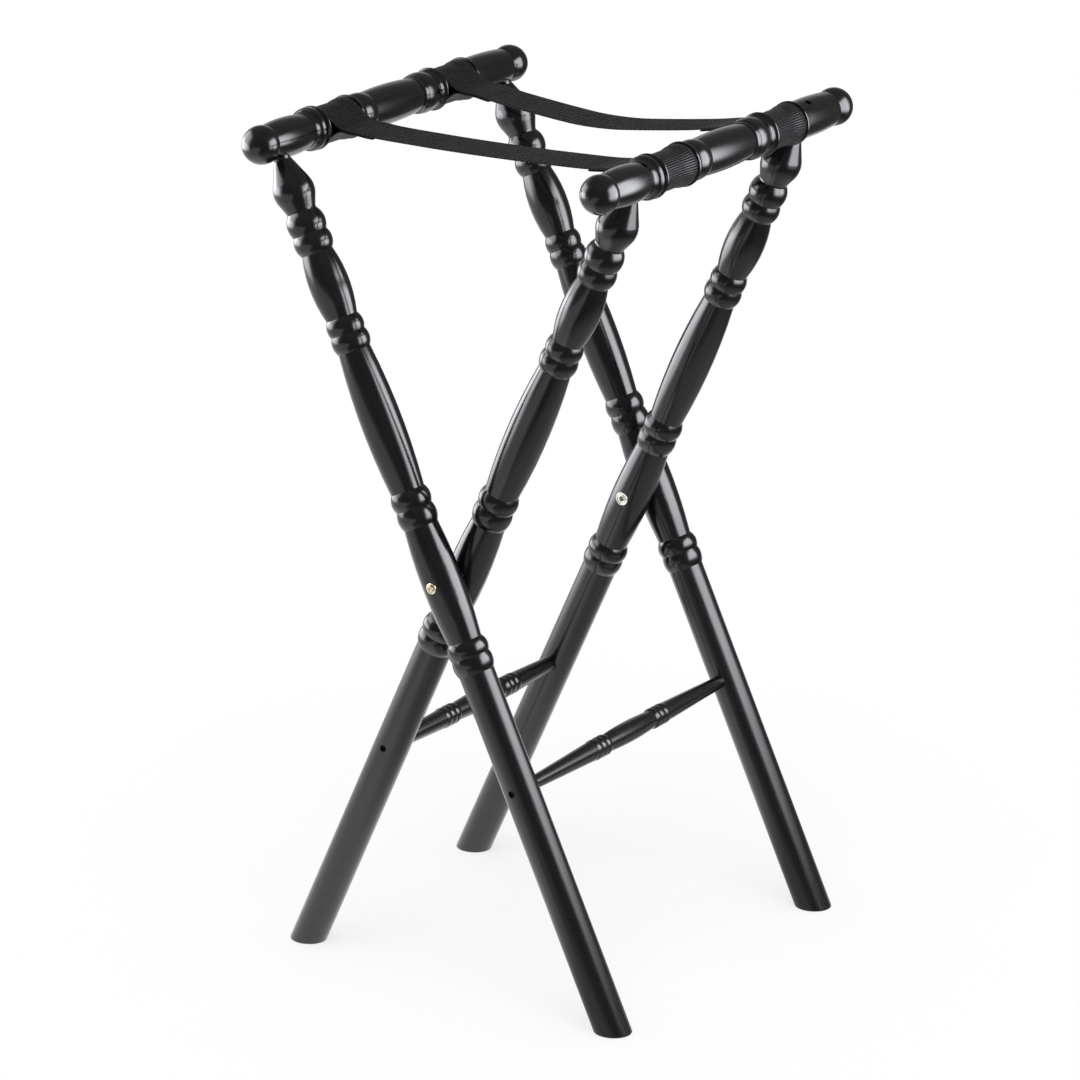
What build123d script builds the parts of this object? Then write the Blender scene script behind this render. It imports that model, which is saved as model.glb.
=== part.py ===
from build123d import *
from math import acos, atan2, cos, hypot, radians, sin, sqrt
import os

os.makedirs("parts", exist_ok=True)

# Scissor frame. The outer frame carries the left rail (-X), the inner frame the right rail (+X).
half_angle = 24.7  # lean of every leg from upright when the stand is open
pivot_to_rail = 418.5  # along the leg, up to the rail's axis
pivot_to_foot = 428.5  # along the leg, down to the floor
pivot_to_rung = 196.5  # along the leg, down to the rung's axis
outer_leg_y = 181.5  # front and back legs stand at this distance from the middle
inner_leg_y = 141.5

# Turned legs
neck_radius = 8.0
tenon_radius = 7.6
tenon_length = 13.0
bulb_top_radius = 17.0
pivot_barrel_radius = 18.7
pivot_barrel_end = 15.8
pivot_barrel_half = 54.35
foot_radius = 16.3
foot_edge = 1.2

# Turned rails
ball_radius = 17.6
ball_shoulder = 5.0  # the front ball is cut this far behind its centre
ball_neck_radius = 13.5  # in the groove before the back ball
barrel_radius = 17.9
barrel_end_radius = 15.3  # where the front barrel meets its ball
lip_width = 2.1
lip_radius = 20.2
lip_edge_radius = 19.8
collar_width = 2.6
collar_face = 0.4  # length of the steep side of the collar, towards the strap
strap_room = 1.0  # spare room between the strap and the collar
groove_length = 33.0
groove_radius = 15.7
flare_length = 10.3
seat_radius = 17.2  # under the back edge of the strap
neck_gap = 0.4  # between the rail's barrel and the flare of a leg's neck

# Turned rungs
rung_barrel_half = 39.0
rung_barrel_end = 8.4
rung_ring_length = 8.0
rung_ring_radius = 9.9
rung_ring_valley = 9.2
rung_taper = 0.0305  # loss of radius for each millimetre towards the leg
rung_tenon_length = 12.0

# Wood screws
screw_shank_radius = 2.0
screw_head_radius = 3.0
screw_head_height = 2.2
screw_bite = 30.0  # length of shank in the second piece
screw_cross_width = 0.9
screw_cross_length = 3.8
screw_cross_depth = 1.2
screw_hole_clearance = 0.1
head_hole_clearance = 0.2
rail_screw_seat = 8.0  # from the rail's axis out to the seat of the head
rung_screw_seat = 11.0  # from the leg's axis out to the seat of the head

# Pivots
rivet_radius = 3.5
rivet_bore_radius = 2.5
rivet_bore_depth = 8.0
rivet_lip_radius = 3.5  # rolled edge round the bore
rivet_flange_radius = 6.2
rivet_flange_height = 1.3
rivet_flange_rim = 1.0
rivet_flange_hollow = 0.5  # depth of the dished ring inside the flange's rim
rivet_flange_sink = 1.1
rivet_neck_radius = 2.6  # through the cup washer
rivet_head_radius = 3.1
rivet_head_height = 2.4
rivet_head_edge = 0.6
rivet_dimple_radius = 1.6
rivet_dimple_depth = 0.6
rivet_edge = 0.25
washer_radius = 5.0
washer_height = 1.5
washer_rim = 1.1
washer_floor = 0.5  # thickness under the rivet's head
washer_edge = 0.4
washer_sink = 0.8
spacer_radius = 8.0
seat_margin = 0.2  # radial room round a flange or washer in its seat
pivot_clearance = 0.05  # running fit of the inner legs and loose washers on the rivets
pivot_play = 0.2  # sideways room of the inner legs on the rivets

# Webbing straps
webbing_width = 50.0
webbing_thickness = 1.5
webbing_clearance = 0.3
webbing_squeeze = 0.2  # how far the sewn tail presses into the span
strap_join_gap = 0.3  # between the two halves at the middle of the span
strap_throat_reach = 25.45  # from the rail's axis to where the loop closes
strap_throat_rise = 1.5
tail_length = 37.0
front_strap_sag = 5.0
back_strap_sag = 16.5

# Worked out from the sizes above
lean = radians(half_angle)
pivot_z = pivot_to_foot * cos(lean)
rail_x = pivot_to_rail * sin(lean)
rail_z = pivot_z + pivot_to_rail * cos(lean)
rung_x = pivot_to_rung * sin(lean)
rung_z = pivot_z - pivot_to_rung * cos(lean)
neck_from_rail = barrel_radius + neck_gap
tenon_from_rail = neck_from_rail - tenon_length
ball_shoulder_radius = sqrt(ball_radius**2 - ball_shoulder**2)
ball_neck = sqrt(ball_radius**2 - ball_neck_radius**2)
groove_to_strap = webbing_clearance + webbing_width / 2
seat_length = webbing_clearance + webbing_width + strap_room  # between the lip and the collar
tail_drop = webbing_thickness - webbing_squeeze
rung_ring_end = rung_barrel_half + 3 * rung_ring_length
rung_tenon_inset = foot_radius - rung_tenon_length
washer_seat = outer_leg_y + pivot_barrel_radius - washer_sink
flange_seat = inner_leg_y - pivot_barrel_radius + rivet_flange_sink - pivot_play
spacer_height = outer_leg_y - inner_leg_y - 2 * pivot_barrel_radius - pivot_play

# Turnings are (length, end radius) where straight and
# (length, end radius, crest position, crest radius) where rounded.
leg_turnings_above = [
    (18.0, 16.5, 9.0, 18.65),  # bulb under the neck
    (8.0, 13.5),  # cone to the waist
    (1.5, 13.5),  # waist
    (20.5, 15.4, 11.5, 17.6),  # first pair of beads
    (18.0, 14.3, 8.0, 17.6),
    (61.0, 14.35, 30.5, 18.25),  # short barrel
    (15.0, 15.7, 8.0, 17.05),  # second pair of beads
    (16.5, 14.8, 7.3, 17.5),
    (132.3, 15.6, 68.5, 18.75),  # long barrel
    (16.5, 16.55, 8.2, 18.35),  # third pair of beads
    (17.5, pivot_barrel_end, 8.0, 18.2),
]
pivot_barrel = (2 * pivot_barrel_half, pivot_barrel_end, pivot_barrel_half, pivot_barrel_radius)
leg_turnings_below = [
    (14.8, 17.45, 7.5, 18.95),  # last pair of beads
    (15.7, foot_radius, 7.0, 18.7),
]
rail_turnings_front = [
    (0.0, barrel_end_radius),
    (57.5, 15.9, 30.0, barrel_radius),  # barrel behind the front ball
    (6.7, 18.3, 4.4, 16.6),  # cove
    (0.0, 18.8),
    (7.0, 18.2, 3.5, 19.8),  # bead
    (1.2, 17.3),  # groove before the lip
    (1.2, lip_edge_radius),
]
strap_seat = [
    (lip_width, lip_edge_radius, lip_width / 2, lip_radius),
    (0.0, groove_radius),
    (groove_length, groove_radius),
    (flare_length, seat_radius),
    (seat_length - groove_length - flare_length, seat_radius),
    (collar_face, lip_edge_radius),
    (collar_width, lip_edge_radius, collar_width / 2, lip_radius),
]
rail_turnings_middle = [
    (7.5, 16.8, 3.2, 17.3),  # cove
    (16.0, 17.3, 9.5, 18.4),  # bead
    (0.5, 16.5),  # groove
    (0.5, 16.9),
    (77.5, 16.2, 38.0, 18.2),  # middle barrel
    (0.0, 16.7),
    (5.3, 17.7, 3.2, 16.9),  # cove
    (0.0, 18.1),
    (16.4, 18.0, 8.0, 19.2),  # bead
    (9.9, lip_edge_radius, 5.2, 16.3),  # hollow before the lip
]
rail_turnings_back = [
    (0.0, 16.9),
    (63.5, 16.4, 30.0, barrel_radius),  # barrel
    (1.8, ball_neck_radius),  # neck of the back ball
    (2.4, ball_neck_radius),
]
rung_barrel = (2 * rung_barrel_half, rung_barrel_end, rung_barrel_half, rung_ring_radius)
rung_ring = (rung_ring_length, rung_ring_valley, rung_ring_length / 2, rung_ring_radius)
rung_first_ring = (rung_ring_length, rung_barrel_end, rung_ring_length / 2, rung_ring_radius)

# Places along the rails, which reach equally far to the front and the back
rail_turnings = [
    *rail_turnings_front,
    *strap_seat,
    *rail_turnings_middle,
    *strap_seat,
    *rail_turnings_back,
]
ball_to_ball = ball_shoulder + sum(turning[0] for turning in rail_turnings) + ball_neck
rail_tip = ball_to_ball / 2 + ball_radius
rail_start = -ball_to_ball / 2 + ball_shoulder
front_groove_y = rail_start + sum(turning[0] for turning in rail_turnings_front) + lip_width
seat_to_seat = seat_length + collar_face + collar_width + lip_width
seat_to_seat += sum(turning[0] for turning in rail_turnings_middle)
back_groove_y = front_groove_y + seat_to_seat


def turned(start, turnings):
    # Draws a turned outline along local X and returns its last point.
    x, r = start
    for length, end_radius, *crest in turnings:
        end = (x + length, end_radius)
        if crest:
            ThreePointArc((x, r), (x + crest[0], crest[1]), end)
        else:
            Line((x, r), end)
        x, r = end
    return x, r


def leg_plane(side, y):
    # Local X runs down the leg from the pivot. Side is 1 on the outer frame and -1 on the inner.
    return Plane((0, y, pivot_z), x_dir=(side * sin(lean), 0, -cos(lean)), z_dir=(0, 1, 0))


def along_y(x, z):
    # Local X runs back along Y and local Y points up.
    return Plane((x, 0, z), x_dir=(0, 1, 0), z_dir=(1, 0, 0))


def facing_y(x, y, z, way):
    return Plane((x, y, z), x_dir=(1, 0, 0), z_dir=(0, way, 0))


def across_leg(side, y, distance, way):
    # Square to a leg at a distance from the pivot, facing down the leg or, with way -1, up it.
    plane = leg_plane(side, y)
    return Plane(plane.from_local_coords((distance, 0, 0)), x_dir=(0, 1, 0), z_dir=way * plane.x_dir)


def rung_tenon_radius(leg_y):
    return rung_ring_valley - rung_taper * (leg_y - foot_radius - rung_ring_end)


def drill(plane, radius, depth):
    with BuildSketch(plane) as hole:
        Circle(radius)
    extrude(hole.sketch, amount=depth, mode=Mode.SUBTRACT)


def save(piece, name):
    piece.part.label = name
    export_step(piece.part, f"parts/{name}.step")


def make_leg(name, side, y):
    plane = leg_plane(side, y)
    out = 1 if y > 0 else -1
    tenon = tenon_from_rail - pivot_to_rail
    neck_length = pivot_to_rail - neck_from_rail - pivot_barrel_half
    neck_length -= sum(turning[0] for turning in leg_turnings_above)
    with BuildPart() as leg:
        with BuildSketch(plane):
            with BuildLine():
                Line((tenon, 0), (tenon, tenon_radius))
                neck = turned((tenon, tenon_radius), [(tenon_length, tenon_radius), (0.0, neck_radius)])
                bulb = turned(neck, [(neck_length, bulb_top_radius)])
                shank = turned(bulb, [*leg_turnings_above, pivot_barrel, *leg_turnings_below])
                foot = turned(shank, [(pivot_to_foot, foot_radius)])
                Polyline(foot, (foot[0], 0), (tenon, 0))
            make_face()
        revolve(axis=Axis(plane.origin, plane.x_dir))
        split(bisect_by=Plane.XY, keep=Keep.TOP)
        fillet(leg.faces().sort_by(Axis.Z)[0].edges(), foot_edge)

        # pilot hole for the rail screw
        drill(across_leg(side, y, tenon, 1), screw_shank_radius, screw_bite)

        # socket of the rung, with the hole and the head recess of its screw
        rung = facing_y(side * rung_x, y, rung_z, out)
        drill(rung.offset(-rung_tenon_inset), rung_tenon_radius(abs(y)), -pivot_barrel_radius)
        drill(rung.offset(-rung_tenon_inset), screw_shank_radius + screw_hole_clearance, 2 * foot_radius)
        drill(rung.offset(rung_screw_seat), screw_head_radius + head_hole_clearance, foot_radius)

        # pivot hole, with the seat of the washer on an outer leg and of the flange on an inner leg
        pivot = facing_y(0, y, pivot_z, side * out)
        if side > 0:
            drill(pivot.offset(-2 * pivot_barrel_radius), rivet_radius, 4 * pivot_barrel_radius)
            drill(pivot.offset(pivot_barrel_radius - washer_sink), washer_radius + seat_margin, washer_radius)
        else:
            bore = rivet_radius + pivot_clearance
            drill(pivot.offset(-2 * pivot_barrel_radius), bore, 4 * pivot_barrel_radius)
            flange_bore = rivet_flange_radius + seat_margin
            drill(pivot.offset(pivot_barrel_radius - rivet_flange_sink), flange_bore, rivet_flange_radius)
    save(leg, name)


def make_rail(name, side, leg_y):
    plane = along_y(-side * rail_x, rail_z)
    ball = rail_tip - ball_radius
    shoulder = (rail_start, ball_shoulder_radius)
    with BuildPart() as rail:
        with BuildSketch(plane):
            with BuildLine():
                ThreePointArc((-rail_tip, 0), (-ball, ball_radius), shoulder)
                neck = turned(shoulder, rail_turnings)
                ThreePointArc(neck, (ball, ball_radius), (rail_tip, 0))
                Line((rail_tip, 0), (-rail_tip, 0))
            make_face()
        revolve(axis=Axis(plane.origin, plane.x_dir))

        # socket of each leg, with the hole and the head recess of its screw
        for y in (-leg_y, leg_y):
            tenon = tenon_from_rail - pivot_to_rail
            drill(across_leg(side, y, tenon, 1), tenon_radius, ball_radius)
            drill(across_leg(side, y, tenon, -1), screw_shank_radius + screw_hole_clearance, 2 * ball_radius)
            seat = across_leg(side, y, -pivot_to_rail - rail_screw_seat, -1)
            drill(seat, screw_head_radius + head_hole_clearance, ball_radius)
    save(rail, name)


def make_rung(name, side, leg_y):
    plane = along_y(side * rung_x, rung_z)
    shoulder = leg_y - foot_radius
    tenon = leg_y - rung_tenon_inset
    radius = rung_tenon_radius(leg_y)
    taper = shoulder - rung_ring_end
    with BuildPart() as rung:
        with BuildSketch(plane):
            with BuildLine():
                Line((-tenon, 0), (-tenon, radius))
                front = [(rung_tenon_length, radius), (taper, rung_ring_valley)]
                rings = turned((-tenon, radius), [*front, rung_ring, rung_ring, rung_first_ring])
                back = turned(rings, [rung_barrel, rung_ring, rung_ring, rung_ring])
                end = turned(back, [(taper, radius), (rung_tenon_length, radius)])
                Polyline(end, (end[0], 0), (-tenon, 0))
            make_face()
        revolve(axis=Axis(plane.origin, plane.x_dir))

        # pilot hole for each screw
        for out in (-1, 1):
            drill(facing_y(side * rung_x, out * tenon, rung_z, -out), screw_shank_radius, screw_bite)
    save(rung, name)


def make_screws(name, seats, grip):
    # Each seat is a plane under a head, facing out of the hole.
    with BuildPart() as screws:
        for seat in seats:
            with BuildSketch(seat):
                Circle(screw_head_radius)
            extrude(amount=screw_head_height)
            with BuildSketch(seat):
                Circle(screw_shank_radius)
            extrude(amount=-(grip + screw_bite))
            with BuildSketch(seat.offset(screw_head_height)):
                Rectangle(screw_cross_length, screw_cross_width)
                Rectangle(screw_cross_width, screw_cross_length)
            extrude(amount=-screw_cross_depth, mode=Mode.SUBTRACT)
    save(screws, name)


def make_pivot(place, out):
    # Local X runs out along the pivot's axis and local Y is the radius.
    plane = Plane((0, 0, pivot_z), x_dir=(0, out, 0), z_dir=(1, 0, 0))
    axis = Axis((0, 0, pivot_z), (0, 1, 0))
    face = flange_seat - rivet_flange_height
    dish = face + rivet_flange_hollow
    bore = face + rivet_bore_depth
    floor = washer_seat + washer_floor
    head = floor + rivet_head_height
    with BuildPart() as rivet:
        with BuildSketch(plane) as section:
            with BuildLine():
                Polyline(
                    (bore, 0),
                    (bore, rivet_bore_radius),
                    (face, rivet_bore_radius),
                    (face, rivet_lip_radius),
                    (dish, rivet_lip_radius + rivet_flange_hollow),
                    (dish, rivet_flange_radius - rivet_flange_rim - rivet_flange_hollow),
                    (face, rivet_flange_radius - rivet_flange_rim),
                    (face, rivet_flange_radius),
                    (flange_seat, rivet_flange_radius),
                    (flange_seat, rivet_radius),
                    (washer_seat, rivet_radius),
                    (washer_seat, rivet_neck_radius),
                    (floor, rivet_neck_radius),
                    (floor, rivet_head_radius),
                    (head, rivet_head_radius),
                    (head, rivet_dimple_radius),
                    (head - rivet_dimple_depth, rivet_dimple_radius - rivet_dimple_depth),
                    (head - rivet_dimple_depth, 0),
                    close=True,
                )
            make_face()
            fillet(section.vertices().group_by(Axis.X)[0], rivet_edge)
            fillet(section.vertices().group_by(Axis.X)[-1].sort_by(Axis.Y)[-1], rivet_head_edge)
        revolve(axis=axis)
    save(rivet, f"pivot_rivet_{place}")

    with BuildPart() as washer:
        with BuildSketch(plane) as cup:
            with BuildLine():
                Polyline(
                    (washer_seat, rivet_neck_radius + pivot_clearance),
                    (washer_seat, washer_radius),
                    (washer_seat + washer_height, washer_radius),
                    (washer_seat + washer_height, washer_radius - washer_rim),
                    (floor, washer_radius - washer_rim),
                    (floor, rivet_neck_radius + pivot_clearance),
                    close=True,
                )
            make_face()
            fillet(cup.vertices().group_by(Axis.X)[-1], washer_edge)
        revolve(axis=axis)
    save(washer, f"pivot_washer_{place}")

    with BuildPart() as spacer:
        with BuildSketch(facing_y(0, out * (outer_leg_y - pivot_barrel_radius), pivot_z, -out)):
            Circle(spacer_radius)
            Circle(rivet_radius + pivot_clearance, mode=Mode.SUBTRACT)
        extrude(amount=spacer_height)
    save(spacer, f"pivot_spacer_{place}")


def strap_plane(side, y):
    # Local X runs from the rail's axis to the middle of the span and local Y points up.
    return Plane((-side * rail_x, y, rail_z), x_dir=(side, 0, 0), z_dir=(0, -side, 0))


def make_strap_loop(name, side, y):
    loop_radius = seat_radius + webbing_clearance + webbing_thickness / 2
    throat = (strap_throat_reach, strap_throat_rise)
    under = (strap_throat_reach, strap_throat_rise - tail_drop)
    upper = atan2(throat[1], throat[0]) + acos(loop_radius / hypot(*throat))
    lower = atan2(under[1], under[0]) - acos(loop_radius / hypot(*under))
    leaves = (loop_radius * cos(upper), loop_radius * sin(upper))
    returns = (loop_radius * cos(lower), loop_radius * sin(lower))
    with BuildPart() as loop:
        with BuildSketch(strap_plane(side, y)):
            with BuildLine(mode=Mode.PRIVATE) as path:
                Line(throat, leaves)
                ThreePointArc(leaves, (-loop_radius, 0), returns)
                Line(returns, under)
            for stretch in path.edges():
                trace(stretch, line_width=webbing_thickness)
            with Locations(throat, under):
                Circle(webbing_thickness / 2)
        extrude(amount=webbing_width / 2, both=True)
    save(loop, name)


def make_strap_span(name, side, y, sag):
    # Half of the span from the mouth of the loop, with the sewn tail under it.
    start = strap_throat_reach + webbing_thickness / 2 + webbing_clearance
    middle = (rail_x - strap_join_gap / 2, strap_throat_rise - sag)
    tail_end = strap_throat_reach + tail_length
    slack = (middle[0] - tail_end) / (middle[0] - start)
    with BuildPart() as span:
        with BuildSketch(strap_plane(side, y)):
            with BuildLine(mode=Mode.PRIVATE) as path:
                TangentArc(middle, (start, strap_throat_rise), tangent=(-1, 0))
                Line((start, strap_throat_rise - tail_drop), (tail_end, middle[1] + sag * slack**2 - tail_drop))
            for stretch in path.edges():
                trace(stretch, line_width=webbing_thickness)
        extrude(amount=webbing_width / 2, both=True)
    save(span, name)


for frame, side, leg_y in (("outer", 1, outer_leg_y), ("inner", -1, inner_leg_y)):
    make_rail(f"{frame}_rail", side, leg_y)
    make_rung(f"{frame}_rung", side, leg_y)
    make_leg(f"{frame}_leg_front", side, -leg_y)
    make_leg(f"{frame}_leg_back", side, leg_y)
    rail_seats = [across_leg(side, y, -pivot_to_rail - rail_screw_seat, -1) for y in (-leg_y, leg_y)]
    make_screws(f"{frame}_rail_screws", rail_seats, rail_screw_seat + tenon_from_rail)
    rung_seats = [
        facing_y(side * rung_x, out * (leg_y + rung_screw_seat), rung_z, out) for out in (-1, 1)
    ]
    make_screws(f"{frame}_rung_screws", rung_seats, rung_screw_seat + rung_tenon_inset)

make_pivot("front", -1)
make_pivot("back", 1)

for place, groove_y, sag in (
    ("front", front_groove_y, front_strap_sag),
    ("back", back_groove_y, back_strap_sag),
):
    strap_y = groove_y + groove_to_strap
    for frame, side in (("outer", 1), ("inner", -1)):
        make_strap_loop(f"{place}_strap_{frame}_loop", side, strap_y)
        make_strap_span(f"{place}_strap_{frame}_span", side, strap_y, sag)
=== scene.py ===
import math
import bpy
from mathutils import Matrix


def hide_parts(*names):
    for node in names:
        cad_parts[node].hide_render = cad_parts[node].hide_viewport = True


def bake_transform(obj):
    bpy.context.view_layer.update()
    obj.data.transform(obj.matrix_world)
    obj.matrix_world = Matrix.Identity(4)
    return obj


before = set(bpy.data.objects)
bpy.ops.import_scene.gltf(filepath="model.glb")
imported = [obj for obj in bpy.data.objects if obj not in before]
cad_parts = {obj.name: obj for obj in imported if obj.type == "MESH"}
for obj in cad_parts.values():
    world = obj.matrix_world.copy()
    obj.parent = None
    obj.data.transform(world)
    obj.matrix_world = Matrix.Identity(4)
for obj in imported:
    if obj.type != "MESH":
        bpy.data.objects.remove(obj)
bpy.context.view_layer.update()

scene = bpy.context.scene
bpy.ops.object.select_all(action="DESELECT")
print("stage: frame loaded,", len(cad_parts), "nodes")


# sRGB hex to the linear colour that the sockets take
def hexColour(code):
    parts = [int(code[i:i + 2], 16) / 255 for i in (1, 3, 5)]
    linear = [p / 12.92 if p <= 0.04045 else ((p + 0.055) / 1.055) ** 2.4 for p in parts]
    return (*linear, 1)


def newMaterial(name):
    material = bpy.data.materials.new(name)
    material.use_nodes = True
    return material, material.node_tree, material.node_tree.nodes["Principled BSDF"]


# one node with its settings and its links or plain values
def addNode(tree, kind, settings=None, inputs=None):
    node = tree.nodes.new(kind)
    for name, value in (settings or {}).items():
        setattr(node, name, value)
    for name, value in (inputs or {}).items():
        if isinstance(value, bpy.types.NodeSocket):
            tree.links.new(value, node.inputs[name])
        else:
            node.inputs[name].default_value = value
    return node


# the nodes that most materials need, each giving back the output that is used
def objectPlace(tree):
    return addNode(tree, "ShaderNodeTexCoord").outputs["Object"]


def mapped(tree, vector, size=(1, 1, 1), place=(0, 0, 0), turn=(0, 0, 0)):
    return addNode(tree, "ShaderNodeMapping", {"vector_type": "TEXTURE"},
                   {"Vector": vector, "Location": place, "Rotation": turn, "Scale": size}).outputs[0]


def noise(tree, vector, detail, roughness=0.5, distortion=0.0):
    return addNode(tree, "ShaderNodeTexNoise", None,
                   {"Vector": vector, "Scale": 1.0, "Detail": detail, "Roughness": roughness,
                    "Distortion": distortion}).outputs["Fac"]


def ramp(tree, value, ends, levels=(0.0, 1.0), kind="LINEAR"):
    return addNode(tree, "ShaderNodeMapRange", {"interpolation_type": kind},
                   {"Value": value, "From Min": ends[0], "From Max": ends[1],
                    "To Min": levels[0], "To Max": levels[1]}).outputs[0]


def softRamp(tree, value, ends):
    return ramp(tree, value, ends, kind="SMOOTHSTEP")


def times(tree, a, b):
    return addNode(tree, "ShaderNodeMath", {"operation": "MULTIPLY"}, {0: a, 1: b}).outputs[0]


def distance(tree, value):
    return addNode(tree, "ShaderNodeMath", {"operation": "ABSOLUTE"}, {0: value}).outputs[0]


def mixColours(tree, share, a, b):
    a, b = (hexColour(c) if isinstance(c, str) else c for c in (a, b))
    return addNode(tree, "ShaderNodeMix", {"data_type": "RGBA"}, {0: share, 6: a, 7: b}).outputs[2]


def mixValues(tree, share, a, b):
    return addNode(tree, "ShaderNodeMix", {"data_type": "FLOAT"}, {0: share, 2: a, 3: b}).outputs[0]


# where the stand's parts are, in metres, as the CAD has them
stand = {
    "halfAngle": 24.7,
    "pivotHeight": 0.389296,
    "railX": 0.174877,
    "railZ": 0.769507,
    "satinBelowPivot": 0.0845,
    "rivetOutside": (0.15, 0.19),  # from the middle, where a rivet's inner end gives way to its head
}

# Black nitrocellulose lacquer sprayed over a close grained hardwood: near black, a wet gloss on the
# turned parts, duller on the plain lower legs, and the pores just telegraph through as fine streaks.
lacquerLook = {
    "black": "#08080a",
    "brown": "#141110",
    "ringRange": (0.35, 0.75),  # how much of the wood shows brown
    "gloss": 0.18,
    "satin": 0.24,
    "satinBlend": 0.003,
    "ior": 1.5,
    "poreWidth": 0.0011,  # real pores are about 0.2 mm, drawn coarser so that they show
    "poreLength": 0.035,
    "poreRange": (0.3, 0.7),
    "poreRough": (0.85, 1.25),
    "poreDepth": 0.00006,
    "poreBump": 0.08,
    "ringWidth": 0.006,
    "ringLength": 0.25,
}


def lacquer(name, turn, place, satinFrom):
    material, tree, shader = newMaterial(name)
    look = lacquerLook
    where = objectPlace(tree)
    poreSize = (look["poreWidth"], look["poreWidth"], look["poreLength"])
    pores = noise(tree, mapped(tree, where, poreSize, place, turn), 3.0, roughness=0.6)
    ringSize = (look["ringWidth"], look["ringWidth"], look["ringLength"])
    rings = noise(tree, mapped(tree, where, ringSize, place, turn), 2.0, distortion=0.4)
    colour = mixColours(tree, ramp(tree, rings, look["ringRange"]), look["black"], look["brown"])
    tree.links.new(colour, shader.inputs["Base Color"])

    # height along the piece decides between the polished turning and the plain satin leg
    along = addNode(tree, "ShaderNodeSeparateXYZ", None, {0: mapped(tree, where, place=place, turn=turn)})
    satinEnds = (satinFrom - look["satinBlend"], satinFrom + look["satinBlend"])
    polish = ramp(tree, along.outputs["Z"], satinEnds, (look["satin"], look["gloss"]))
    streaks = ramp(tree, pores, look["poreRange"], look["poreRough"])
    tree.links.new(times(tree, polish, streaks), shader.inputs["Roughness"])
    bump = addNode(tree, "ShaderNodeBump", None,
                   {"Height": pores, "Strength": look["poreBump"], "Distance": look["poreDepth"]})
    tree.links.new(bump.outputs[0], shader.inputs["Normal"])
    shader.inputs["IOR"].default_value = look["ior"]
    return material


lean = math.radians(stand["halfAngle"])
pivot = (0, 0, stand["pivotHeight"])
origin = (0, 0, 0)
alongY = (math.radians(90), 0, 0)
satinLeg = -stand["satinBelowPivot"]
allGloss = -1  # metres along the piece, well past either end
allSatin = 1
outerLegLacquer = lacquer("lacquered beech outer legs", (0, -lean, 0), pivot, satinLeg)
innerLegLacquer = lacquer("lacquered beech inner legs", (0, lean, 0), pivot, satinLeg)
railLacquer = lacquer("lacquered beech rails", alongY, origin, allGloss)
rungLacquer = lacquer("lacquered beech rungs", alongY, origin, allSatin)

# Nickel plated brass cup, drawn from sheet: creamy, yellower where the plating has worn.
cupLook = {"bright": "#f8f3e8", "tarnish": "#e2d6ae", "rough": 0.24, "scratch": 0.0006}
# Solid rivet of the same brass: the plating is gone from the hammered head, down to a dull tan.
rivetLook = {"bright": "#f6f7ee", "tarnish": "#c9ccba", "rough": 0.26, "scratch": 0.0006}
headLook = {"bright": "#e6d9bf", "tarnish": "#b7a078"}
# Zinc plated screws, coloured a dark grey that runs to near black at random; they sit down in their holes.
screwLook = {"bright": "#4c4c4e", "tarnish": "#1c1c1e", "rough": 0.4, "scratch": 0.0005}
# the scratches on all of them: how much longer than wide, how far they change the roughness, how deep
scratchLook = {"stretch": 6, "range": (0.3, 0.7), "rough": (0.8, 1.5), "bump": 0.2, "depth": 0.00003}


def rolledMetal(name, look, outside=None):
    material, tree, shader = newMaterial(name)
    where = objectPlace(tree)
    size = (look["scratch"], look["scratch"] * scratchLook["stretch"], look["scratch"])
    scratches = noise(tree, mapped(tree, where, size), 4.0)
    colour = mixColours(tree, scratches, look["bright"], look["tarnish"])
    if outside:
        # the end of the piece that shows outside the stand has a finish of its own
        worn = mixColours(tree, scratches, outside["bright"], outside["tarnish"])
        along = addNode(tree, "ShaderNodeSeparateXYZ", None, {0: where})
        end = ramp(tree, distance(tree, along.outputs["Y"]), stand["rivetOutside"])
        colour = mixColours(tree, end, colour, worn)
    tree.links.new(colour, shader.inputs["Base Color"])
    levels = [look["rough"] * share for share in scratchLook["rough"]]
    tree.links.new(ramp(tree, scratches, scratchLook["range"], levels), shader.inputs["Roughness"])
    bump = addNode(tree, "ShaderNodeBump", None,
                   {"Height": scratches, "Strength": scratchLook["bump"], "Distance": scratchLook["depth"]})
    tree.links.new(bump.outputs[0], shader.inputs["Normal"])
    shader.inputs["Metallic"].default_value = 1
    return material


cupNickel = rolledMetal("nickel plated brass cup", cupLook)
rivetNickel = rolledMetal("nickel plated brass rivet", rivetLook, headLook)
screwZinc = rolledMetal("dark zinc screws", screwLook)

finishes = {
    "outer_leg_front": outerLegLacquer,
    "outer_leg_back": outerLegLacquer,
    "inner_leg_front": innerLegLacquer,
    "inner_leg_back": innerLegLacquer,
    "outer_rail": railLacquer,
    "inner_rail": railLacquer,
    "outer_rung": rungLacquer,
    "inner_rung": rungLacquer,
    "outer_rail_screws": screwZinc,
    "inner_rail_screws": screwZinc,
    "outer_rung_screws": screwZinc,
    "inner_rung_screws": screwZinc,
    "pivot_rivet_front": rivetNickel,
    "pivot_rivet_back": rivetNickel,
    "pivot_washer_front": cupNickel,
    "pivot_washer_back": cupNickel,
    "pivot_spacer_front": screwZinc,
    "pivot_spacer_back": screwZinc,
}
for node, finish in finishes.items():
    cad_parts[node].material_slots[0].material = finish
print("stage: wood and metal finishes set on", len(finishes), "nodes")
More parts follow.
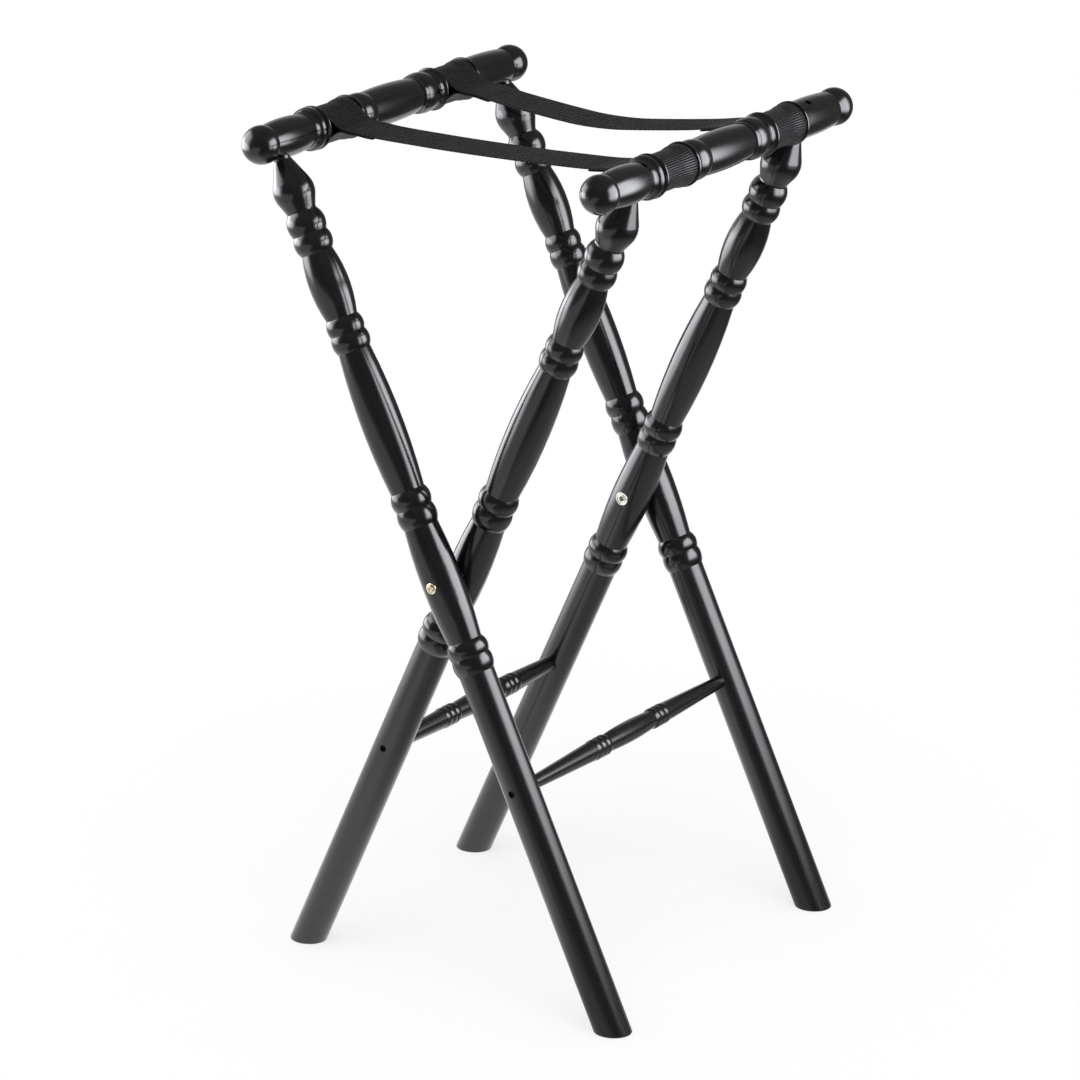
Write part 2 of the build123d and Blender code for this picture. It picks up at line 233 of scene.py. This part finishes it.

# Black polypropylene webbing: woven with a heavy cross rib. Light is painted into its colour: near black
# between the ribs, deepened there as painted shade, and a painted highlight, a dull pale grey, on the smooth
# yarn on top of each rib.
webbingLook = {
    "groove": "#050506",
    "crest": "#484849",
    "fadedCrestHighlight": "#545455",
    "crestRange": (0.3, 0.95),  # how much of a rib's height counts as its top
    "rough": (1.0, 0.22),  # down between the ribs, then on top of them
    "ior": 1.49,
    "shine": 0.24,
    "ribDepth": 0.0002,
    "pairDepth": 0.0014,
    "loopRibLight": 0.2,  # how much painted highlight the ribs' tops get where the webbing is bent round the rail
    "spanRibLight": (-0.35, 1.3),  # and where it is pulled straight, which leaves every other rib higher: those get the painted highlight and the ribs between get painted shade
    "spanEnds": (0.135, 0.095),  # metres from the middle of the strap
    "thread": 0.0009,  # thread spacing, drawn coarser than the real 0.4 mm so that it shows
    "threadTone": (0.86, 1.0),
    "threadBump": 0.2,
    "threadDepth": 0.00012,
    "patch": 0.012,
}


# a wave along the flat strip, from 0 to 1 and back over each pitch
def ribWave(tree, flat, pitch):
    return addNode(tree, "ShaderNodeTexWave", {"bands_direction": "X"},
                   {"Vector": mapped(tree, flat, (pitch, pitch, 1)), "Scale": math.pi / 10,
                    "Distortion": 0.0}).outputs["Fac"]


def webbing(ribPitch):
    material, tree, shader = newMaterial("polypropylene webbing")
    look = webbingLook
    flat = addNode(tree, "ShaderNodeUVMap", {"uv_map": "flatWeave"}).outputs[0]
    rib = ribWave(tree, flat, ribPitch)
    pair = ribWave(tree, flat, 2 * ribPitch)
    threadAt = mapped(tree, flat, (look["thread"], look["thread"], 1))
    twill = addNode(tree, "ShaderNodeTexWave", {"bands_direction": "DIAGONAL"},
                    {"Vector": threadAt, "Scale": 0.31, "Distortion": 0.6, "Detail": 1.0}).outputs["Fac"]
    patches = noise(tree, mapped(tree, flat, (look["patch"], look["patch"], 1)), 4.0)
    along = addNode(tree, "ShaderNodeSeparateXYZ", None, {0: flat})
    span = softRamp(tree, along.outputs["X"], look["spanEnds"])

    thread = ramp(tree, twill, (0.0, 1.0), look["threadTone"])
    top = softRamp(tree, rib, look["crestRange"])
    # on the spans the painted highlight falls on every other rib, with painted shade on the ribs between
    alternateRibLight = ramp(tree, pair, (0.0, 1.0), look["spanRibLight"])
    # the loop's or the span's painted rib light, by where along the strap
    stretch = mixValues(tree, span, look["loopRibLight"], alternateRibLight)
    # painted rib light: the ribs' tops get the painted highlight and the grooves stay near black as painted
    # shade; on the spans this also sets how smooth the webbing is
    lift = times(tree, times(tree, top, stretch), thread)
    # the painted highlight's grey for the ribs' tops, paler at random in patches
    crest = mixColours(tree, patches, look["crest"], look["fadedCrestHighlight"])
    colour = mixColours(tree, lift, look["groove"], crest)
    tree.links.new(colour, shader.inputs["Base Color"])

    # only the tops of the ribs are smooth enough to shine
    smooth = mixValues(tree, span, times(tree, top, thread), lift)
    tree.links.new(ramp(tree, smooth, (0.0, 1.0), look["rough"]), shader.inputs["Roughness"])
    height = mixValues(tree, span, times(tree, rib, look["ribDepth"]), times(tree, pair, look["pairDepth"]))
    cord = addNode(tree, "ShaderNodeBump", None, {"Height": height, "Strength": 1.0, "Distance": 1.0})
    bump = addNode(tree, "ShaderNodeBump", None,
                   {"Height": twill, "Strength": look["threadBump"], "Distance": look["threadDepth"],
                    "Normal": cord.outputs[0]})
    tree.links.new(bump.outputs[0], shader.inputs["Normal"])
    shader.inputs["Specular IOR Level"].default_value = look["shine"]
    shader.inputs["IOR"].default_value = look["ior"]
    return material


# Bonded nylon thread: a shade paler than the webbing, so that the stitches just show on it.
threadLook = {"dark": "#161617", "pale": "#2c2c2e", "rough": 0.4, "twist": 0.0006}


def sewingThread():
    material, tree, shader = newMaterial("bonded nylon thread")
    twist = noise(tree, mapped(tree, objectPlace(tree), (threadLook["twist"],) * 3), 2.0)
    colour = mixColours(tree, twist, threadLook["dark"], threadLook["pale"])
    tree.links.new(colour, shader.inputs["Base Color"])
    shader.inputs["Roughness"].default_value = threadLook["rough"]
    return material


# one strap half: a ribbed strip with a sewn box, bent along a path drawn from the middle of the strap,
# over the rail and back under to the end of the tail
strip = {
    "width": 0.050,
    "thick": 0.0015,
    "ribPitch": 0.0023,
    "ribRound": 0.0006,
    "acrossCuts": 11,
    "selvedge": 0.0008,
    "selvedgeThin": 0.55,
    "smoothBelow": 40,  # degrees
}
stitch = {
    "length": 0.0026,
    "thick": 0.0005,
    "gap": 0.0035,
    "rows": (0.032, 0.040, 0.057),  # metres from the rail's axis
    "inset": 0.004,
    "lift": 0.0001,
}
# places from the rail's axis: towards the middle of the stand, then up
route = {
    "mouth": [(0.0450, 0.0000), (0.0345, 0.0006)],
    "intoLoop": (0.0273, 0.0018),
    "turns": (30, 74, 118, 162, 206, 250, 294, 338),  # degrees round the rail
    "halfTurn": 22,  # half of one step, which sets how far out the path's corners lie
    "outOfLoop": (0.0260, -0.0002),
    "tailEnd": 0.0624,
    "layer": 0.0016,
}
# the rail under the loop: a groove, then a wider land from and to these distances behind the strap's middle
seat = {
    "grooveRadius": 0.01665,
    "landRadius": 0.01825,
    "from": 0.007,
    "to": 0.019,
    "looseFrom": 0.026,  # out here the strap has left the rail
    "looseOver": 0.014,
}
# each strap: its place along the rail, the points that its span hangs through from the middle of the stand
# out to the rail, and the height of its tail's end
straps = {
    "front": {
        "y": -0.0960,
        "hang": [(0.174877, -0.0035), (0.135, -0.0034), (0.100, -0.0026), (0.072, -0.0020), (0.056, -0.0012)],
        "tailZ": -0.0015,
    },
    "back": {
        "y": 0.0940,
        "hang": [(0.174877, -0.0146), (0.158, -0.0146), (0.130, -0.0118), (0.100, -0.0083), (0.074, -0.0050),
                 (0.058, -0.0024)],
        "tailZ": -0.0031,
    },
}
tiny = 0.0001  # metres, to find vertices on an edge
webbingBlack = webbing(strip["ribPitch"])
threadBlack = sewingThread()


def strapPath(strap, toWorld):
    corner = seat["landRadius"] / math.cos(math.radians(route["halfTurn"]))
    turns = [math.radians(turn) for turn in route["turns"]]
    loop = [(corner * math.cos(turn), corner * math.sin(turn)) for turn in turns]
    tail = [*reversed(route["mouth"]), strap["hang"][-1], (route["tailEnd"], strap["tailZ"])]
    tail = [(x, z - route["layer"]) for x, z in tail]
    line = [*strap["hang"], *route["mouth"], route["intoLoop"], *loop, route["outOfLoop"], *tail]
    return [(toWorld * (stand["railX"] - x), strap["y"], stand["railZ"] + z) for x, z in line]


def drawPath(points):
    data = bpy.data.curves.new("strapPath", "CURVE")
    data.dimensions = "3D"
    data.resolution_u = 16
    data.twist_mode = "MINIMUM"
    spline = data.splines.new("NURBS")
    spline.points.add(len(points) - 1)
    for point, place in zip(spline.points, points):
        point.co = (*place, 1)
    spline.order_u = 3
    spline.use_endpoint_u = True
    path = bpy.data.objects.new("strapPath", data)
    scene.collection.objects.link(path)
    line = bpy.data.meshes.new_from_object(path)
    places = [v.co.copy() for v in line.vertices]
    bpy.data.meshes.remove(line)
    return path, places


def onlyThis(piece):
    bpy.ops.object.select_all(action="DESELECT")
    piece.select_set(True)
    bpy.context.view_layer.objects.active = piece


# leaves the active piece in edit mode, with only the wanted edges, faces or vertices picked
def pick(kind, items, wanted):
    bpy.ops.object.mode_set(mode="EDIT")
    bpy.ops.mesh.select_all(action="DESELECT")
    bpy.ops.mesh.select_mode(type=kind)
    bpy.ops.object.mode_set(mode="OBJECT")
    for item in items:
        item.select = wanted(item)
    bpy.ops.object.mode_set(mode="EDIT")


def pickEdges(piece, wanted):
    places = [v.co.copy() for v in piece.data.vertices]
    pick("EDGE", piece.data.edges, lambda edge: wanted(*(places[i] for i in edge.vertices)))


def ribbedStrip(name, length):
    ribs = round(length / strip["ribPitch"])
    pitch = length / ribs
    half = strip["width"] / 2
    bpy.ops.mesh.primitive_cube_add(size=1)
    piece = bpy.context.object
    piece.name = name
    piece.scale = (pitch, strip["width"], strip["thick"])
    piece.location = (pitch / 2, 0, 0)
    bpy.ops.object.transform_apply(location=True, rotation=False, scale=True)
    # the four long edges get round, so that each rib stands up as a cord
    pickEdges(piece, lambda a, b: abs(a.y - b.y) > half)
    bpy.ops.mesh.bevel(offset=strip["ribRound"], segments=3, affect="EDGES")
    bpy.ops.object.mode_set(mode="OBJECT")
    # ends open, for the next rib
    pick("FACE", piece.data.polygons, lambda face: abs(face.normal.x) > 0.99)
    bpy.ops.mesh.delete(type="FACE")
    bpy.ops.object.mode_set(mode="OBJECT")
    pickEdges(piece, lambda a, b: abs(a.y - b.y) > half)
    bpy.ops.mesh.subdivide(number_cuts=strip["acrossCuts"])
    # thinner selvedge
    for edgeY in (half - strip["selvedge"], strip["selvedge"] - half):
        bpy.ops.mesh.select_all(action="SELECT")
        bpy.ops.mesh.bisect(plane_co=(0, edgeY, 0), plane_no=(0, 1, 0))
    bpy.ops.object.mode_set(mode="OBJECT")
    pick("VERT", piece.data.vertices, lambda v: abs(v.co.y) > half - tiny)
    bpy.ops.transform.resize(value=(1, 1, strip["selvedgeThin"]))
    bpy.ops.object.mode_set(mode="OBJECT")
    row = piece.modifiers.new("ribs", "ARRAY")
    row.count = ribs
    row.relative_offset_displace = (1, 0, 0)
    row.use_merge_vertices = True
    row.merge_threshold = tiny / 2
    bpy.ops.object.modifier_apply(modifier="ribs")
    # close the two cut ends
    for endX in (0, length):
        pickEdges(piece, lambda a, b: abs(a.x - endX) < tiny and abs(b.x - endX) < tiny)
        bpy.ops.mesh.edge_face_add()
        bpy.ops.object.mode_set(mode="OBJECT")
    return piece


# a row of thread stitches on the strip's upper face
def stitchRow(start, count, across):
    bpy.ops.mesh.primitive_uv_sphere_add(segments=8, ring_count=5, radius=0.5)
    row = bpy.context.object
    size = (stitch["thick"], stitch["length"], stitch["thick"])
    row.scale = size if across else (size[1], size[0], size[2])
    row.location = (*start, strip["thick"] / 2 + stitch["lift"])
    bpy.ops.object.transform_apply(location=True, rotation=False, scale=True)
    step = row.modifiers.new("step", "ARRAY")
    step.count = count
    step.use_relative_offset = False
    step.use_constant_offset = True
    step.constant_offset_displace = (0, stitch["gap"], 0) if across else (stitch["gap"], 0, 0)
    bpy.ops.object.modifier_apply(modifier="step")
    row.data.materials.append(threadBlack)
    return row


def sewnBox(length):
    rows = []
    half = strip["width"] / 2 - stitch["inset"]
    acrossCount = int(2 * half / stitch["gap"]) + 1
    # once on the span's upper face, once on the tail's face underneath
    for places in ([stand["railX"] - x for x in stitch["rows"]],
                   [length - route["tailEnd"] + x for x in stitch["rows"]]):
        for x in places:
            rows.append(stitchRow((x, -half), acrossCount, True))
        start = min(places) + stitch["gap"] / 2
        alongCount = int((max(places) - min(places)) / stitch["gap"])
        for y in (-half, half):
            rows.append(stitchRow((start, y), alongCount, False))
    return rows


# 0 to 1 with soft ends
def eased(share):
    share = min(1, max(0, share))
    return share * share * (3 - 2 * share)


# pull the loop down into the rail's groove, but for its back edge, which lies on the wider land
def seatLoop(piece, strap, toWorld):
    for v in piece.data.vertices:
        x = stand["railX"] - toWorld * v.co.x
        z = v.co.z - stand["railZ"]
        hold = eased((seat["looseFrom"] - x) / seat["looseOver"])
        rise = eased((v.co.y - strap["y"] - seat["from"]) / (seat["to"] - seat["from"]))
        radius = seat["grooveRadius"] + (seat["landRadius"] - seat["grooveRadius"]) * rise
        share = 1 + (radius / seat["landRadius"] - 1) * hold
        v.co.x = toWorld * (stand["railX"] - x * share)
        v.co.z = stand["railZ"] + z * share


def makeStrap(place, side):
    strap = straps[place]
    toWorld = -1 if side == "outer" else 1
    path, line = drawPath(strapPath(strap, toWorld))
    length = sum((b - a).length for a, b in zip(line, line[1:]))
    bpy.ops.object.select_all(action="DESELECT")
    piece = ribbedStrip(place + "Strap" + side.capitalize(), length)
    piece.data.materials.append(webbingBlack)
    # the flat strip's own map, in metres, with the ribs evened out to their plain pitch
    evened = strip["ribPitch"] * round(length / strip["ribPitch"]) / length
    weave = piece.data.uv_layers.new(name="flatWeave")
    for corner in piece.data.loops:
        spot = piece.data.vertices[corner.vertex_index].co
        weave.data[corner.index].uv = (spot.x * evened, spot.y)
    rows = sewnBox(length)
    onlyThis(piece)
    for row in rows:
        row.select_set(True)
    bpy.ops.object.join()
    onlyThis(piece)
    bend = piece.modifiers.new("overRail", "CURVE")
    bend.object = path
    bend.deform_axis = "POS_X"
    bpy.ops.object.modifier_apply(modifier="overRail")
    bpy.data.objects.remove(path)
    seatLoop(piece, strap, toWorld)
    bpy.ops.object.mode_set(mode="EDIT")
    bpy.ops.mesh.select_all(action="SELECT")
    bpy.ops.mesh.normals_make_consistent(inside=False)
    bpy.ops.object.mode_set(mode="OBJECT")
    bpy.ops.object.shade_smooth_by_angle(angle=math.radians(strip["smoothBelow"]))

    base = place + "_strap_" + side
    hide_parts(base + "_loop", base + "_span")
    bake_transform(piece)
    print("strap", piece.name, "flat length", round(length, 4), "faces", len(piece.data.polygons))


for place in straps:
    for side in ("outer", "inner"):
        makeStrap(place, side)
print("stage: straps made")

# camera at the photograph's angle
view = {
    "place": (2.4005, -3.8184, 1.7929),
    "turn": 32.294,
    "down": 17.377,
    "lens": 172.02,
    "sensor": 36,
    "clipEnd": 200,
}
cameraData = bpy.data.cameras.new("camera")
camera = bpy.data.objects.new("camera", cameraData)
scene.collection.objects.link(camera)
camera.location = view["place"]
camera.rotation_euler = (math.radians(90 - view["down"]), 0, math.radians(view["turn"]))
cameraData.lens = view["lens"]
cameraData.sensor_width = view["sensor"]
cameraData.clip_end = view["clipEnd"]
scene.camera = camera

# studio: white floor and backdrop and a soft sun, which light the colours evenly
studio = {
    "floor": "#f4f4f4",
    "floorRough": 0.9,
    "floorGlow": 0.7,
    "floorRadius": 30,
    "floorZ": -0.0002,
    "fill": 0.75,
    "sun": 1.4,
    "sunSize": 50,  # degrees across
    "sunTurn": (25, 15),
}
white = (1, 1, 1, 1)


def seenDirectly(tree):
    ray = addNode(tree, "ShaderNodeLightPath")
    either = addNode(tree, "ShaderNodeMath", {"operation": "MAXIMUM"},
                     {0: ray.outputs["Is Camera Ray"], 1: ray.outputs["Is Glossy Ray"]})
    return addNode(tree, "ShaderNodeMath", {"operation": "MAXIMUM"},
                   {0: either.outputs[0], 1: ray.outputs["Is Transmission Ray"]}).outputs[0]


# White paper sweep: matt, and lit a little from within so that the picture's ground stays white.
bpy.ops.object.select_all(action="DESELECT")
bpy.ops.mesh.primitive_circle_add(vertices=96, radius=studio["floorRadius"], fill_type="NGON",
                                  location=(0, 0, studio["floorZ"]))
floor = bpy.context.object
floor.name = "floor"
paper, tree, shader = newMaterial("white paper sweep")
shader.inputs["Base Color"].default_value = hexColour(studio["floor"])
shader.inputs["Roughness"].default_value = studio["floorRough"]
shader.inputs["Specular IOR Level"].default_value = 0
glow = addNode(tree, "ShaderNodeEmission", None, {"Color": white, "Strength": 1.0})
share = times(tree, seenDirectly(tree), studio["floorGlow"])
lit = addNode(tree, "ShaderNodeMixShader", None, {0: share, 1: shader.outputs[0], 2: glow.outputs[0]})
tree.links.new(lit.outputs[0], tree.nodes["Material Output"].inputs["Surface"])
floor.data.materials.append(paper)

world = bpy.data.worlds.new("pale studio")
scene.world = world
world.use_nodes = True
tree = world.node_tree
fill = tree.nodes["Background"]
fill.inputs["Color"].default_value = white
fill.inputs["Strength"].default_value = studio["fill"]
backdrop = addNode(tree, "ShaderNodeBackground", None, {"Color": white, "Strength": 1.0})
around = addNode(tree, "ShaderNodeMixShader", None,
                 {0: seenDirectly(tree), 1: fill.outputs[0], 2: backdrop.outputs[0]})
tree.links.new(around.outputs[0], tree.nodes["World Output"].inputs["Surface"])
world.cycles_visibility.glossy = False  # the gloss sees the flags below instead

# Grey flags that only the gloss sees, shaded softly: a dim room over the stand, paler behind it where
# the backdrop is, and the floor, white on the left and round the stand. White is 1.
flags = {
    "room": 0.17,
    "ceiling": 0.27,
    "behind": 0.7,
    "backLeft": 0.9,
    "floorDark": 0.15,
    "floorLeft": 1.05,
    "floorNear": 0.65,
    "roomRadius": 9,
    "sheetRadius": 8.9,
    "sheetZ": 0.0004,
}
# where each level comes in: a measure in metres, and from where to where it rises; right, back and up are
# as the camera has them, side is across the stand and away is from its middle
roomLights = (
    ("ceiling", [("up", 3.0, 8.0)]),
    ("behind", [("right", 4.0, 0.5), ("right", -5.5, -2.0), ("back", 3.0, 6.0), ("up", 5.5, 2.5)]),
    ("backLeft", [("right", -2.0, -5.5), ("back", -2.5, 1.0), ("up", 7.0, 4.0)]),
)
floorLights = (
    ("floorLeft", [("side", 0.12, -0.08), ("away", 3.5, 1.2)]),
    ("floorLeft", [("side", -0.08, 0.12), ("right", -0.45, -0.65)]),
    ("floorLeft", [("side", 0.12, -0.08), ("away", 1.2, 3.5), ("back", 1.5, 0.0), ("away", 8.5, 6.0)]),
    ("floorNear", [("away", 1.1, 0.5)]),
)


def flagMaterial(name, dark, lights):
    material, tree, _ = newMaterial(name)
    where = objectPlace(tree)
    turned = mapped(tree, where, turn=(0, 0, math.radians(view["turn"])))
    seen = addNode(tree, "ShaderNodeSeparateXYZ", None, {0: turned})
    flat = addNode(tree, "ShaderNodeVectorMath", {"operation": "MULTIPLY"}, {0: turned, 1: (1, 1, 0)})
    reach = addNode(tree, "ShaderNodeVectorMath", {"operation": "LENGTH"}, {0: flat.outputs[0]})
    square = addNode(tree, "ShaderNodeSeparateXYZ", None, {0: where})
    measures = {
        "right": seen.outputs["X"],
        "back": seen.outputs["Y"],
        "up": seen.outputs["Z"],
        "away": reach.outputs["Value"],
        "side": square.outputs["X"],
    }
    level = flags[dark]
    for light, rises in lights:
        part = flags[light] - flags[dark]
        for measure, start, end in rises:
            part = times(tree, softRamp(tree, measures[measure], (start, end)), part)
        level = addNode(tree, "ShaderNodeMath", {"operation": "ADD"}, {0: part, 1: level}).outputs[0]
    dim = addNode(tree, "ShaderNodeEmission", None, {"Color": white, "Strength": level})
    tree.links.new(dim.outputs[0], tree.nodes["Material Output"].inputs["Surface"])
    return material


bpy.ops.object.select_all(action="DESELECT")
bpy.ops.mesh.primitive_uv_sphere_add(segments=72, ring_count=36, radius=flags["roomRadius"])
room = bpy.context.object
room.name = "dimRoom"
bpy.ops.object.mode_set(mode="EDIT")
bpy.ops.mesh.select_all(action="SELECT")
bpy.ops.mesh.bisect(plane_co=(0, 0, 0), plane_no=(0, 0, 1), clear_inner=True)
bpy.ops.object.mode_set(mode="OBJECT")
room.data.materials.append(flagMaterial("grey room", "room", roomLights))

bpy.ops.object.select_all(action="DESELECT")
bpy.ops.mesh.primitive_circle_add(vertices=96, radius=flags["sheetRadius"], fill_type="NGON",
                                  location=(0, 0, flags["sheetZ"]))
sheet = bpy.context.object
sheet.name = "floorSheet"
sheet.data.materials.append(flagMaterial("shaded floor", "floorDark", floorLights))

# Soft lit panels that only the gloss sees, so that colours stay as written: degrees right of the
# camera, metres off, sideways and the middle's height, then its half width, half height and light.
panels = {
    "softbox": {
        "right": 77, "off": 1.05, "aside": -0.08, "height": 0.96, "half": (0.78, 0.68), "light": 11.0,
    },
    "leftSoftbox": {
        "right": -90, "off": 0.69, "aside": -0.13, "height": 0.92, "half": (0.46, 0.40), "light": 5.0,
    },
    "backBand": {
        "right": -112, "off": 2.0, "aside": 0.0, "height": 0.52, "half": (1.6, 0.52), "light": 6.0,
    },
}
panelTint = "#f7f9ff"
panelFade = (1.0, 0.45)  # from the dark edge in to full light, as shares of each half


def litPanel(name, panel):
    bpy.ops.object.select_all(action="DESELECT")
    bpy.ops.mesh.primitive_plane_add(size=2)
    card = bpy.context.object
    card.name = name
    bearing = math.radians(view["turn"] + panel["right"])
    card.location = (panel["off"] * math.sin(bearing) + panel["aside"] * math.cos(bearing),
                     panel["aside"] * math.sin(bearing) - panel["off"] * math.cos(bearing), panel["height"])
    card.rotation_euler = (math.radians(90), 0, bearing)
    card.scale = (*panel["half"], 1)
    material, tree, _ = newMaterial(name + " cloth")
    place = addNode(tree, "ShaderNodeSeparateXYZ", None, {0: objectPlace(tree)})
    level = panel["light"]
    for axis in ("X", "Y"):
        level = times(tree, softRamp(tree, distance(tree, place.outputs[axis]), panelFade), level)
    glow = addNode(tree, "ShaderNodeEmission", None, {"Color": hexColour(panelTint), "Strength": level})
    # the cloth is thin, so that a panel's faded edge hides nothing behind it
    thin = addNode(tree, "ShaderNodeBsdfTransparent")
    both = addNode(tree, "ShaderNodeAddShader", None, {0: thin.outputs[0], 1: glow.outputs[0]})
    tree.links.new(both.outputs[0], tree.nodes["Material Output"].inputs["Surface"])
    card.data.materials.append(material)
    return card


for card in (room, sheet, *(litPanel(name, panel) for name, panel in panels.items())):
    card.visible_camera = False
    card.visible_diffuse = False
    card.visible_transmission = False
    card.visible_shadow = False

sunData = bpy.data.lights.new("overhead", "SUN")
sunData.energy = studio["sun"]
sunData.angle = math.radians(studio["sunSize"])
sun = bpy.data.objects.new("overhead", sunData)
scene.collection.objects.link(sun)
sun.rotation_euler = (*(math.radians(turn) for turn in studio["sunTurn"]), 0)
sun.visible_glossy = False

scene.view_settings.view_transform = "Standard"
print("stage: camera, floor and lights set")
